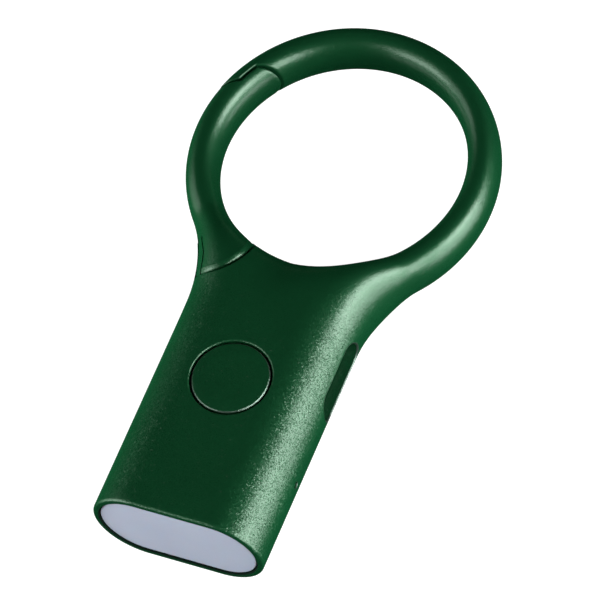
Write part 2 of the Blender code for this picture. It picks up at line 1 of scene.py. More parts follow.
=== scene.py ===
"""Looks of the keychain torch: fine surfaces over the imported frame, blasted green metal and a studio.

Units are metres in the frame's axes: +Y runs from the lamp to the ring, +X is the side of the charging
slot, +Z the side of the button, and the torch lies on z = 0. The outer surface follows the same few
dimensions as the CAD model, at a finer step and with its edges rounded.
"""

import json
import math

import bmesh
import bpy
import numpy as np
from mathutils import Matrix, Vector


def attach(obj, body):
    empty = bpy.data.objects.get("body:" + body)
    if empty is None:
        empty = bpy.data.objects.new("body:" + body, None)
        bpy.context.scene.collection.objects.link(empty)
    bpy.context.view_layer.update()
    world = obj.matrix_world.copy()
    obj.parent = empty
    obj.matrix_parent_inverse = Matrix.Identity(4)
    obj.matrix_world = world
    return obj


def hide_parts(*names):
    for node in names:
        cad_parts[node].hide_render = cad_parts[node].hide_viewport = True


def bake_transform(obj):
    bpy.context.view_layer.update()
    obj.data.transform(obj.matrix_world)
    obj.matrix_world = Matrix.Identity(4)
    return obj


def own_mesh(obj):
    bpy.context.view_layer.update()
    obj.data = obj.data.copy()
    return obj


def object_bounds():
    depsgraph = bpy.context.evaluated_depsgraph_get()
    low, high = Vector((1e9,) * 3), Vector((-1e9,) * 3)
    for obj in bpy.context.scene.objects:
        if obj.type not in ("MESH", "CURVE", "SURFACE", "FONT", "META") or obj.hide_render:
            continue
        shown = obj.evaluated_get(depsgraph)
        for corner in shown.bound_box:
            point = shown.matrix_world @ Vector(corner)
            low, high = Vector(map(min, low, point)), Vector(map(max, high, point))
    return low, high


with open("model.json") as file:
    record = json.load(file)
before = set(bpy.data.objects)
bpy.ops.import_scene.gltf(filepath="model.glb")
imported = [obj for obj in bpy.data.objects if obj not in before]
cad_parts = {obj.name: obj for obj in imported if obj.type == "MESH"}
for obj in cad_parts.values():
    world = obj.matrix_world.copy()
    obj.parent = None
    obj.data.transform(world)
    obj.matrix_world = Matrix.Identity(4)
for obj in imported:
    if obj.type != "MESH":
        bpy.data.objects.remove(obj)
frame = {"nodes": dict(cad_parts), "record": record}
MM = 0.001


def corners():
    return [list(map(float, corner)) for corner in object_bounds()]


cad_box = corners()

# Body and ring, as in the CAD model
LAMP_END = cad_box[0][1]
BODY_THICKNESS = cad_box[1][2]
BODY_WIDTH = 22.36 * MM
RIM_ROUNDING = 0.4 * MM
RING_INNER_RADIUS = 15.55 * MM
RING_OUTER_RADIUS = 19.81 * MM
RING_OUTER_SHIFT = -0.15 * MM
RING_HALF_THICKNESS = 3.35 * MM
RING_SECTION_POWER = 2.157
FLARE_RADIUS = {1: 15.7 * MM, -1: 19.2 * MM}
HOLE_ROLL = 8.1 * MM
THICKENING_WIDTH = 7.0 * MM
THICKENING_PACE = 0.19
BLEND = 1.0 * MM
MID_HEIGHT = BODY_THICKNESS / 2
SIDE_RADIUS = BODY_THICKNESS / 2
HALF_WIDTH = BODY_WIDTH / 2
FLAT_HALF = HALF_WIDTH - SIDE_RADIUS
RING_Y = LAMP_END + 55.0 * MM
SPLIT_Y = LAMP_END + 26.5 * MM

# Gate
GAP = 0.26 * MM
HINGE = (-9.6 * MM, LAMP_END + 37.9 * MM)
HEEL_RADIUS = 4.65 * MM
TIP_RADIUS = 26.88 * MM
FINGER_RADIUS = 17.53 * MM
GATE_INSET = 0.08 * MM
TONGUE_RADIUS = 3.13 * MM
TONGUE_HALF_THICKNESS = 2.5 * MM
BORE_RADIUS = 1.15 * MM
TONGUE_BORE_TOP = 9.5 * MM
GATE_BORE_TOP = 10.3 * MM
SPRING_ROOM_HALF = 1.35 * MM
WELD = 0.001 * MM  # corners closer than this are one
SEAM_ROUNDING = 0.18 * MM
TIP_SEAM_ROUNDING = 0.24 * MM
HEEL_ROUNDING = 0.85 * MM
TIP_ROUNDING = 0.4 * MM
GROOVE_WIDTH = 0.17 * MM
GROOVE_FROM_MIDDLE = 3.2 * MM
SEAM_STEP = 0.2 * MM  # between points of a seam
LEAST_RISE = 0.25 * MM  # rounded seams stop this far above the middle plane
INSIDE_HOLE = 1.6 * MM  # how far the gate's plan passes the ring's surface
OUTSIDE_RING = 3.2 * MM
PAST_SURFACE = 9.0 * MM  # from the middle plane, clear of every surface
TONGUE_ROOT_RADIUS = 7.0 * MM
GATE_LEG_REACH = 4.9 * MM
GATE_LEG_START = 2.5 * MM
COIL_ROOM_RADIUS = 2.05 * MM

# Openings
WINDOW = (10.36 * MM, 5.45 * MM)
CAVITY = (9.6 * MM, 4.75 * MM)
WINDOW_DEPTH = 3.0 * MM
LENS_GAP = 0.15 * MM
LENS_BACK = 2.35 * MM
LENS_FRONT = 0.22 * MM  # behind the body's end
LENS_ROUNDING = 0.12 * MM
CAVITY_DEPTH = 31.5 * MM
BUTTON = (0.0, LAMP_END + 19.8 * MM)
BUTTON_RADIUS = 4.88 * MM
BUTTON_HOLE_RADIUS = 5.12 * MM
BUTTON_BELOW = 0.04 * MM  # below the body's face
FLANGE_RADIUS = 5.6 * MM
FLANGE_BOTTOM = 10.45 * MM
# Width of the button's rim that takes the lighter metal, a painted highlight with wear
RUBBED_HIGHLIGHT_RIM = 0.17 * MM
SLOT_Y = LAMP_END + 26.15 * MM
SLOT = (5.35 * MM, 2.07 * MM)
SLOT_HEIGHT = MID_HEIGHT + 0.08 * MM
INDICATOR = (LAMP_END + 11.08 * MM, 6.65 * MM)
INDICATOR_RADIUS = 0.42 * MM
WINDOW_ROUNDING = 0.12 * MM
LIP_ROUNDING = 0.24 * MM  # of the button's hole and the slot
INDICATOR_ROUNDING = 0.08 * MM
SLOT_CUT_FROM = 7.5 * MM  # to the side of the middle
INDICATOR_CUT_FROM = 8.0 * MM
PAST_SIDE = 13.0 * MM
UNDER_BUTTON = 10.0 * MM  # height from which the button's hole is cut
PAST_TOP = 14.0 * MM


# Outlines and closed lofts

LEAST_CORNER = 20  # degrees of turn from which an outline's point counts as a corner
CORNER_SHARE = 0.8  # of the way to where the moved walls would cross
SHARP_EDGE = 38  # degrees between faces from which an edge shows as sharp
ROUND_SEGMENTS = 48  # of small bores
BUTTON_SEGMENTS = 128


def arc(centre, radius, start, end, steps):
    """Points from start to end, in degrees, on a circle."""
    angles = np.radians(np.linspace(start, end, steps + 1))
    return [(centre[0] + radius * math.cos(a), centre[1] + radius * math.sin(a)) for a in angles]


def stadium(half_width, half_height, centre=(0.0, MID_HEIGHT), steps=28):
    """A slot-shaped outline with round ends, counter-clockwise."""
    flat = half_width - half_height
    right = arc((centre[0] + flat, centre[1]), half_height, -90, 90, steps)
    left = arc((centre[0] - flat, centre[1]), half_height, 90, 270, steps)
    return right + left


def refined(outline, step):
    """The outline with points added so that none are further apart than the step."""
    made = []
    for (x0, y0), (x1, y1) in zip(outline, outline[1:] + outline[:1]):
        parts = max(1, math.ceil(math.hypot(x1 - x0, y1 - y0) / step))
        made += [(x0 + (x1 - x0) * i / parts, y0 + (y1 - y0) * i / parts) for i in range(parts)]
    return made


def grown(outline, distance):
    """Each point moved outwards by its distance, or by less beside a corner, where walls would cross."""
    points = np.array(outline)
    before = points - np.roll(points, 1, axis=0)
    after = np.roll(points, -1, axis=0) - points
    area = np.sum(points[:, 0] * np.roll(points[:, 1], -1) - points[:, 1] * np.roll(points[:, 0], -1))
    cross = before[:, 0] * after[:, 1] - before[:, 1] * after[:, 0]
    turn = np.arctan2(cross, np.sum(before * after, axis=1)) * np.sign(area)
    along = before + after
    outwards = np.stack([along[:, 1], -along[:, 0]], axis=1) * np.sign(area)
    outwards /= np.linalg.norm(outwards, axis=1)[:, None]
    distance = np.broadcast_to(distance, len(points)).astype(float)
    steps = np.hypot(*after.T)
    travelled = np.concatenate([[0], np.cumsum(steps)[:-1]])
    for corner in np.nonzero(np.abs(turn) > math.radians(LEAST_CORNER))[0]:
        gone = np.abs(travelled - travelled[corner])
        gone = np.minimum(gone, steps.sum() - gone)
        most = CORNER_SHARE * gone / math.tan(abs(turn[corner]) / 2)
        pinched = distance * turn[corner] < 0
        distance = np.where(pinched, np.clip(distance, -most, most), distance)
    return points + outwards * distance[:, None]


def smooth(mesh, sharp=SHARP_EDGE):
    """Soft shading, except across edges sharper than an angle in degrees."""
    mesh.shade_smooth()
    mesh.set_sharp_from_angle(angle=math.radians(sharp))


def object_from(name, bm, sharp=SHARP_EDGE):
    """An object in the scene, made from a bmesh that is used up."""
    bmesh.ops.recalc_face_normals(bm, faces=bm.faces)
    mesh = bpy.data.meshes.new(name)
    bm.to_mesh(mesh)
    bm.free()
    smooth(mesh, sharp)
    obj = bpy.data.objects.new(name, mesh)
    bpy.context.scene.collection.objects.link(obj)
    return obj


def loft(name, rings):
    """A closed solid through rings of points, capped at the first and the last."""
    bm = bmesh.new()
    rows = [[bm.verts.new(point) for point in ring] for ring in rings]
    for low, high in zip(rows, rows[1:]):
        for i in range(len(low)):
            j = (i + 1) % len(low)
            bm.faces.new((low[i], low[j], high[j], high[i]))
    bm.faces.new(rows[0])
    bm.faces.new(rows[-1])
    return object_from(name, bm)


def prism(name, outline, low, high):
    return loft(name, [[(x, y, level) for x, y in outline] for level in (low, high)])


def disc(name, rings, centre, segments):
    """A turned solid through (radius, height) rings, from the bottom up."""
    circle = [(math.cos(a), math.sin(a)) for a in np.linspace(0, 2 * math.pi, segments, endpoint=False)]
    return loft(name, [[(centre[0] + r * c, centre[1] + r * s, h) for c, s in circle] for r, h in rings])


def split_many_sided(mesh):
    """Triangles in place of the Booleans' many-sided faces, so that no two of them share a diagonal."""
    bm = bmesh.new()
    bm.from_mesh(mesh)
    bmesh.ops.dissolve_degenerate(bm, edges=bm.edges, dist=WELD / 10)
    many_sided = [face for face in bm.faces if len(face.verts) > 4]
    bmesh.ops.triangulate(bm, faces=many_sided, quad_method="BEAUTY", ngon_method="BEAUTY")
    bm.to_mesh(mesh)
    bm.free()


def combined(obj, *steps):
    """Booleans in turn, each ("DIFFERENCE", "UNION" or "INTERSECT", other). The others are used up."""
    for operation, other in steps:
        modifier = obj.modifiers.new(operation.lower(), "BOOLEAN")
        modifier.operation = operation
        modifier.solver = "EXACT"
        modifier.material_mode = "TRANSFER"
        modifier.object = other
    graph = bpy.context.evaluated_depsgraph_get()
    mesh = bpy.data.meshes.new_from_object(obj.evaluated_get(graph))
    obj.modifiers.clear()
    obj.data = mesh
    smooth(mesh)
    for _, other in steps:
        bpy.data.objects.remove(other, do_unlink=True)
    return obj


# The outer surface

SIDE_STEPS = 36  # along each round side of the body
FLAT_STEPS = 24  # across its flat
RING_STEPS = 440
RADIAL_STEPS = 44
BODY_STEPS = 36  # from the split line to the rim
RIM_STEPS = 7


def smooth_min(a, b):
    share = np.clip(0.5 + 0.5 * (b - a) / BLEND, 0, 1)
    return b * (1 - share) + a * share - BLEND * share * (1 - share)


def flare_centre(side):
    """Centre of the concave fillet that is tangent to the body's side and the ring's outer circle."""
    radius = FLARE_RADIUS[side]
    across = HALF_WIDTH + radius
    along = math.sqrt((RING_OUTER_RADIUS + radius) ** 2 - across**2)
    return across, RING_Y + RING_OUTER_SHIFT - along


def from_edge(x, y):
    """Distance inside the plan outline: body sides, fillets and the ring's outer circle."""
    ring_y = RING_Y + RING_OUTER_SHIFT
    inside = np.empty_like(x)
    for side in (1, -1):
        here = x * side >= 0
        across, along = flare_centre(side)
        u, v = np.abs(x[here]), y[here]
        to_ring = RING_OUTER_RADIUS - np.hypot(u, v - ring_y)
        to_flare = np.hypot(u - across, v - along) - FLARE_RADIUS[side]
        beside_ring = np.arctan2(v - ring_y, u) > math.atan2(along - ring_y, across)
        inside[here] = np.where(beside_ring, to_ring, np.where(v < along, HALF_WIDTH - u, to_flare))
    return inside


def half_thickness(x, y, inset=0.0):
    """Height of the surface above the middle plane, zero along the outline and the hole."""
    outer = np.maximum(from_edge(x, y) - inset, 0)
    inner = np.maximum(np.hypot(x, y - RING_Y) - RING_INNER_RADIUS, 0)
    half = (outer + inner) / 2
    thin = (RING_OUTER_RADIUS - RING_INNER_RADIUS) / 2
    t = np.clip((half - thin) / (THICKENING_WIDTH - thin), 0, 1)
    grown_share = 1 - (1 - t) ** 2 * THICKENING_PACE / (t + THICKENING_PACE)
    height = RING_HALF_THICKNESS + (SIDE_RADIUS - RING_HALF_THICKNESS) * grown_share
    power = RING_SECTION_POWER + (2 - RING_SECTION_POWER) * grown_share
    outer_roll = np.maximum(smooth_min(half, SIDE_RADIUS), 1e-9)
    inner_roll = np.maximum(smooth_min(half, HOLE_ROLL), 1e-9)
    share = np.minimum(outer / outer_roll, inner / inner_roll)
    return height * (1 - (1 - np.clip(share, 0, 1)) ** power) ** (1 / power)


def reach(angles, inset):
    """Length of the rays from the ring's centre to the outline."""
    low = np.full(len(angles), RING_INNER_RADIUS)
    high = low * 4
    for _ in range(50):
        middle = (low + high) / 2
        y = RING_Y + middle * np.sin(angles)
        inside = (from_edge(middle * np.cos(angles), y) > inset) & (y > SPLIT_Y)
        low = np.where(inside, middle, low)
        high = np.where(inside, high, middle)
    return low


def shell(name, inset):
    """Body and ring as one closed surface: a fan of rays round the hole, of which those that end on the
    split line go on along the body to its rounded rim."""
    roll = SIDE_RADIUS - inset
    side = [FLAT_HALF + roll * math.cos(a) for a in np.linspace(0, math.pi / 2, SIDE_STEPS + 1)]
    flat = list(np.linspace(FLAT_HALF, -FLAT_HALF, FLAT_STEPS + 1)[1:-1])
    columns = np.array(side + flat + [-x for x in reversed(side)])
    fan = np.arctan2(SPLIT_Y - RING_Y, columns)
    round_the_ring = np.linspace(fan[-1], fan[0] - 2 * math.pi, RING_STEPS + 1)[1:-1]
    angles = np.concatenate([fan, round_the_ring])
    lengths = np.concatenate([np.hypot(columns, SPLIT_Y - RING_Y), reach(round_the_ring, inset)])
    count = len(columns)

    fractions = (1 - np.cos(np.linspace(0, math.pi, RADIAL_STEPS + 1))) / 2
    radii = RING_INNER_RADIUS + (lengths[:, None] - RING_INNER_RADIUS) * fractions
    x = radii * np.cos(angles)[:, None]
    y = RING_Y + radii * np.sin(angles)[:, None]
    height = half_thickness(x.ravel(), y.ravel(), inset).reshape(x.shape)

    bm = bmesh.new()
    top, bottom = [], []
    for i in range(len(angles)):
        upper, lower = [], []
        for k in range(RADIAL_STEPS + 1):
            in_body = 0 < i < count - 1 and k == RADIAL_STEPS
            on_edge = k == 0 or (k == RADIAL_STEPS and not in_body)
            rise = 0.0 if on_edge else height[i, k]
            upper.append(bm.verts.new((x[i, k], y[i, k], MID_HEIGHT + rise)))
            lower.append(upper[-1] if on_edge else bm.verts.new((x[i, k], y[i, k], MID_HEIGHT - rise)))
        top.append(upper)
        bottom.append(lower)
    for sheet in (top, bottom):
        for i in range(len(angles)):
            here, there = sheet[i], sheet[(i + 1) % len(angles)]
            for k in range(RADIAL_STEPS):
                bm.faces.new((here[k], here[k + 1], there[k + 1], there[k]))

    loop = [top[i][-1] for i in range(count)] + [bottom[i][-1] for i in range(count - 2, 0, -1)]
    section = [vert.co.copy() for vert in loop]
    rim_start = LAMP_END + RIM_ROUNDING
    rows = [(0.0, level) for level in np.linspace(SPLIT_Y, rim_start, BODY_STEPS + 1)[1:]]
    for turn in np.linspace(0, math.pi / 2, RIM_STEPS + 1)[1:]:
        rows.append((RIM_ROUNDING * (1 - math.cos(turn)), LAMP_END + RIM_ROUNDING * (1 - math.sin(turn))))
    for inwards, level in rows:
        share = (SIDE_RADIUS - inwards) / SIDE_RADIUS
        row = []
        for place in section:
            centre = min(max(place.x, -FLAT_HALF), FLAT_HALF)
            across = centre + (place.x - centre) * share
            row.append(bm.verts.new((across, level, MID_HEIGHT + (place.z - MID_HEIGHT) * share)))
        for i in range(len(loop)):
            j = (i + 1) % len(loop)
            bm.faces.new((loop[i], loop[j], row[j], row[i]))
        loop = row
    bm.faces.new(loop)
    return object_from(name, bm)


# Gate and its seams


def about_hinge(radius, start, end, steps):
    return arc(HINGE, radius, start, end, steps)


def about_ring(radius, start, end, steps):
    return arc((0.0, RING_Y), radius, start, end, steps)


def gate_outline(grow):
    """Plan of the gate: ring arm, tip with a finger inside the nose's lip, and round heel. It passes the
    ring's surface on both sides, which the shell's own surface then bounds."""
    outline = about_ring(RING_INNER_RADIUS - INSIDE_HOLE, 236, 142, 12)
    outline += about_hinge(TIP_RADIUS + grow, 93, 99.6, 12)  # the tip's end, which slides along itself
    outline += about_ring(FINGER_RADIUS + grow, 148.6, 157.5, 12)  # the finger's outer side
    outline += about_ring(RING_OUTER_RADIUS + 0.6 * MM + 1.2 * grow, 167, 167, 0)
    outline += about_ring(RING_OUTER_RADIUS + OUTSIDE_RING, 172, 214, 7)
    outline += about_hinge(8.0 * MM, 165, 165, 0) + about_hinge(8.0 * MM, 205, 205, 0)
    outline += about_hinge(HEEL_RADIUS + grow, -135, 44, 60)  # the heel
    return refined(outline, SEAM_STEP)


def groove_cutters():
    """The fine line down the outer side of the heel, above and below the hinge tongue."""
    path = [(-11.9, 1.3), (-11.6, 0.62), (-11.18, -0.06), (-10.6, -1.1)]
    path += [(-10.28, -2.15), (-10.05, -3.3), (-9.95, -4.6)]
    path = np.array(path) * MM
    half = GROOVE_WIDTH / 2
    outline = [(x - half, y) for x, y in path] + [(x + half, y) for x, y in path[::-1]]
    top = prism("groove_top", outline, MID_HEIGHT + GROOVE_FROM_MIDDLE, BODY_THICKNESS + MM)
    return top, prism("groove_bottom", outline, -MM, MID_HEIGHT - GROOVE_FROM_MIDDLE)


def seam_cutter(name, outline, rounding, sense, inset):
    """Upright walls on the outline, flared by a quarter round where they meet the outer surface: outwards
    to cut away (sense 1), inwards to keep what is inside (sense -1)."""
    rounding = np.array(rounding)
    rings = []
    for turn in np.radians((0, 20, 40, 60, 78)):
        spread = rounding * (1 - math.cos(turn)) * sense
        plan = grown(outline, spread)
        rise = half_thickness(plan[:, 0].copy(), plan[:, 1].copy(), inset)
        # Rows at the least rise still climb a little, so that no two of them coincide
        rise = np.maximum(rise - rounding * (1 - math.sin(turn)), LEAST_RISE + 0.05 * MM * turn)
        rings.append((plan, rise))
    plan = rings[-1][0]
    rings.append((plan, np.full(len(plan), PAST_SURFACE)))
    upper = [[(x, y, MID_HEIGHT + r) for (x, y), r in zip(plan, rise)] for plan, rise in rings]
    lower = [[(x, y, MID_HEIGHT - r) for (x, y), r in zip(plan, rise)] for plan, rise in rings]
    return loft(name, lower[::-1] + upper)


def tongue(name, grow, outer_angle, inner_angle):
    """The housing's hinge tongue between the gate's two cheeks. From the outer angle to the inner one it
    is a round knuckle about the hinge, and elsewhere it runs on into the body."""
    outline = about_hinge(TONGUE_RADIUS + grow, outer_angle, inner_angle, 40)
    outline += about_hinge(TONGUE_ROOT_RADIUS, inner_angle, outer_angle - 360, 60)
    half = TONGUE_HALF_THICKNESS + grow
    return prism(name, outline, MID_HEIGHT - half, MID_HEIGHT + half)


def spring_room():
    """Room in the tongue for the spring's coil and its two legs. Each room is a little lower than the one
    before, so that no faces coincide."""
    half = SPRING_ROOM_HALF
    levels = (MID_HEIGHT - half, MID_HEIGHT + half)
    coil = disc("coil_room", [(COIL_ROOM_RADIUS, level) for level in levels], HINGE, ROUND_SEGMENTS)
    half -= 0.05 * MM
    mouth = about_hinge(6.0 * MM, 50, 112, 12) + about_hinge(0.6 * MM, 261, 261, 0)
    mouth_room = prism("mouth_room", mouth, MID_HEIGHT - half, MID_HEIGHT + half)
    half -= 0.05 * MM
    right, left = HINGE[0] + 1.9 * MM, HINGE[0] + 1.2 * MM
    low, high = HINGE[1] - 3.0 * MM, HINGE[1] + 0.1 * MM
    leg = [(left, low), (right, low), (right, high), (left, high)]
    return coil, mouth_room, prism("leg_room", leg, MID_HEIGHT - half, MID_HEIGHT + half)


# Openings of the body

ROUNDING_ROWS = 5
ROUNDING_TURN = 80  # degrees of the quarter round that are made


def rounding_rows(radius):
    """(spread, depth) pairs of a quarter round, from the straight wall to just short of the surface."""
    turns = np.radians(np.linspace(0, ROUNDING_TURN, ROUNDING_ROWS))
    return [(radius * (1 - math.cos(t)), radius * (1 - math.sin(t))) for t in turns]


def window_cutter():
    """The lamp opening, with its front edge rounded."""
    rows = [(0.0, LAMP_END + WINDOW_DEPTH)]
    rows += [(spread, LAMP_END + depth) for spread, depth in rounding_rows(WINDOW_ROUNDING)]
    rows.append((rows[-1][0], LAMP_END - MM))
    rings = []
    for spread, level in rows:
        outline = stadium(WINDOW[0] + spread, WINDOW[1] + spread)
        rings.append([(x, level, z) for x, z in outline])
    return loft("window_cutter", rings)


def cavity_cutter():
    outline = stadium(*CAVITY, steps=16)
    levels = (LAMP_END - 0.5 * MM, LAMP_END + CAVITY_DEPTH)
    return loft("cavity_cutter", [[(x, level, z) for x, z in outline] for level in levels])


def button_cutter():
    rings = [(BUTTON_HOLE_RADIUS, UNDER_BUTTON)]
    rings += [(BUTTON_HOLE_RADIUS + s, BODY_THICKNESS - d) for s, d in rounding_rows(LIP_ROUNDING)]
    rings.append((rings[-1][0], PAST_TOP))
    return disc("button_cutter", rings, BUTTON, BUTTON_SEGMENTS)


def side_surface(y, z):
    """How far out the right side is, at distances along the body and heights."""
    low = np.full(len(y), FLAT_HALF)
    high = np.full(len(y), HALF_WIDTH + 2 * MM)
    rise = np.abs(z - MID_HEIGHT)
    for _ in range(40):
        middle = (low + high) / 2
        inside = half_thickness(middle, y) > rise
        low = np.where(inside, middle, low)
        high = np.where(inside, high, middle)
    return low


def side_cutter(name, outline, rounding, deep):
    """A hole into the right side, with its outline in (y, z), and with its edge rounded along the curved
    wall. The rounded faces take the second material, the lighter metal that paints a highlight on the edge
    along with wear."""
    rings = [[(deep, y, z) for y, z in outline]]
    for spread, depth in rounding_rows(rounding):
        plan = grown(outline, spread)
        out = side_surface(plan[:, 0].copy(), plan[:, 1].copy()) - depth
        rings.append([(x, y, z) for x, (y, z) in zip(out, plan)])
    rings.append([(PAST_SIDE, y, z) for _, y, z in rings[-1]])
    cutter = loft(name, rings)
    for polygon in cutter.data.polygons[len(outline) : -len(outline) - 2]:
        polygon.material_index = 1
    return cutter


def make_housing(metal, rubbed_highlight, window_wall_shade):
    """The shell less its openings. A cut face takes the material of the cutter that made it."""
    slot = stadium(*SLOT, centre=(SLOT_Y, SLOT_HEIGHT), steps=24)
    spot = arc(INDICATOR, INDICATOR_RADIUS, 0, 352.5, 47)
    space_outline = gate_outline(GAP / 2)
    rounding = [TIP_SEAM_ROUNDING if y > RING_Y else SEAM_ROUNDING for _, y in space_outline]
    space = seam_cutter("gate_space", space_outline, rounding, 1, 0.0)
    space = combined(space, ("DIFFERENCE", tongue("tongue_left_standing", -GAP / 2, 169, 33)))
    bore = [(BORE_RADIUS, -MM), (BORE_RADIUS, TONGUE_BORE_TOP)]
    cutters = [
        window_cutter(),
        cavity_cutter(),
        button_cutter(),
        side_cutter("slot_cutter", slot, LIP_ROUNDING, SLOT_CUT_FROM),
        side_cutter("indicator_cutter", spot, INDICATOR_ROUNDING, INDICATOR_CUT_FROM),
        space,
        disc("bore_cutter", bore, HINGE, ROUND_SEGMENTS),
        *spring_room(),
    ]
    # The rounded lips of the slot and the indicator take the second, lighter metal: a painted highlight
    # along with wear
    for cutter in cutters[1:]:
        dress(cutter, metal, rubbed_highlight)
    # The lamp opening's wall is near-black and barely reflects: painted shade inside the recess
    dress(cutters[0], window_wall_shade)
    skin = shell("housing_skin", 0.0)
    dress(skin, metal)
    housing = combined(skin, *[("DIFFERENCE", cutter) for cutter in cutters])
    split_many_sided(housing.data)
    return housing


def make_gate():
    outline = gate_outline(-GAP / 2)
    rounding = [TIP_ROUNDING if y > RING_Y else HEEL_ROUNDING for _, y in outline]
    kept = seam_cutter("gate_plan", outline, rounding, -1, GATE_INSET)
    leg = about_hinge(GATE_LEG_REACH, 97, 112, 4) + about_hinge(GATE_LEG_START, 112, 70, 8)
    low, high = MID_HEIGHT - SPRING_ROOM_HALF, MID_HEIGHT + SPRING_ROOM_HALF
    bore = [(BORE_RADIUS, -MM), (BORE_RADIUS, GATE_BORE_TOP)]
    return combined(
        shell("gate_skin", GATE_INSET),
        ("INTERSECT", kept),
        ("DIFFERENCE", tongue("fork_room", GAP / 2, 165, 62)),
        ("DIFFERENCE", disc("gate_bore", bore, HINGE, ROUND_SEGMENTS)),
        ("DIFFERENCE", prism("gate_leg_room", leg, low, high)),
        *[("DIFFERENCE", cutter) for cutter in groove_cutters()],
    )


def make_button():
    """A foot, a flange under the wall, a chamfered rim and a face that is dished by a hair. The rim's
    slope takes the second material, the lighter metal that paints a highlight on the rim along with wear."""
    face = BODY_THICKNESS - BUTTON_BELOW
    under_wall = MID_HEIGHT + CAVITY[1] - 0.15 * MM
    rings = [(1.1 * MM, 10.2 * MM), (1.3 * MM, FLANGE_BOTTOM)]
    rings += [(FLANGE_RADIUS, FLANGE_BOTTOM), (FLANGE_RADIUS, under_wall), (BUTTON_RADIUS, under_wall)]
    for inwards, down in ((0, 0.26), (0.01, 0.21), (0.03, 0.17), (0.15, 0.04), (0.19, 0.015), (0.25, 0)):
        rings.append((BUTTON_RADIUS - inwards * MM, face - down * MM))
    rings += [(3.0 * MM, face - 0.02 * MM), (1.4 * MM, face - 0.04 * MM), (0.3 * MM, face - 0.04 * MM)]
    button = disc("button_face", rings, BUTTON, BUTTON_SEGMENTS)
    for polygon in button.data.polygons:
        on_rim = math.dist(polygon.center[:2], BUTTON) > BUTTON_RADIUS - RUBBED_HIGHLIGHT_RIM
        if on_rim and 0.2 < polygon.normal.z < 0.98:
            polygon.material_index = 1
    return button


def make_diffuser():
    """The lens, a little smaller than the window, with its front edge rounded."""
    half_width, half_height = WINDOW[0] - LENS_GAP, WINDOW[1] - LENS_GAP
    rows = [(0.0, LENS_BACK)]
    for turn in np.linspace(0, 1.5, 7):
        inwards = LENS_ROUNDING * (1 - math.cos(turn))
        rows.append((-inwards, LENS_FRONT + LENS_ROUNDING * (1 - math.sin(turn))))
    rings = []
    for spread, depth in rows:
        outline = stadium(half_width + spread, half_height + spread)
        rings.append([(x, LAMP_END + depth, z) for x, z in outline])
    return loft("diffuser_lens", rings)


# Materials

DYE = (0.0053, 0.0645, 0.0218)
RUBBED_HIGHLIGHT = (0.09, 0.15, 0.115)  # rounded edges: wear that shows more of the metal, and a painted highlight where the edges catch the light
GRAIN_SIZE = 0.095 * MM
GRAIN_FADES_FROM = BUTTON[1] + 5.0 * MM
GRAIN_FADES_TO = BUTTON[1] + 22.0 * MM
RING_GRAIN = 0.4  # share of the body's
GRAIN_TILT = 0.16  # of most grains
STEEP_TILT = 0.5  # more for a few
STEEP_RARITY = 2.5
COAT_ROUGHNESS = 0.27


def node_material(name):
    """A new material, its nodes and links, its shader, and coordinates in the object's own frame."""
    made = bpy.data.materials.new(name)
    made.use_nodes = True
    nodes, links = made.node_tree.nodes, made.node_tree.links
    nodes.clear()
    output = nodes.new("ShaderNodeOutputMaterial")
    shader = nodes.new("ShaderNodeBsdfPrincipled")
    links.new(shader.outputs["BSDF"], output.inputs["Surface"])
    coordinates = nodes.new("ShaderNodeTexCoord")
    return made, nodes, links, shader, coordinates.outputs["Object"]


def noise(nodes, links, place, scale, detail=2.0):
    texture = nodes.new("ShaderNodeTexNoise")
    texture.inputs["Scale"].default_value = scale
    texture.inputs["Detail"].default_value = detail
    links.new(place, texture.inputs["Vector"])
    return texture.outputs["Fac"]


def ramp(nodes, links, value, stops):
    """Colours or greys by value. Stops are (position, colour)."""
    made = nodes.new("ShaderNodeValToRGB")
    elements = made.color_ramp.elements
    while len(elements) < len(stops):
        elements.new(0.5)
    for element, (position, colour) in zip(elements, stops):
        element.position = position
        element.color = (*colour, 1.0) if isinstance(colour, tuple) else (colour, colour, colour, 1.0)
    links.new(value, made.inputs["Fac"])
    return made.outputs["Color"]


def bump(nodes, links, height, strength, distance):
    made = nodes.new("ShaderNodeBump")
    made.inputs["Strength"].default_value = strength
    made.inputs["Distance"].default_value = distance
    links.new(height, made.inputs["Height"])
    return made.outputs["Normal"]


def computed(nodes, links, kind, operation, *values):
    """The result of a math node. Each value is a socket to link or a constant."""
    made = nodes.new("ShaderNode" + kind)
    made.operation = operation
    for socket, value in zip([socket for socket in made.inputs if socket.enabled], values):
        if isinstance(value, bpy.types.NodeSocket):
            links.new(value, socket)
        else:
            socket.default_value = value
    return made.outputs[0]


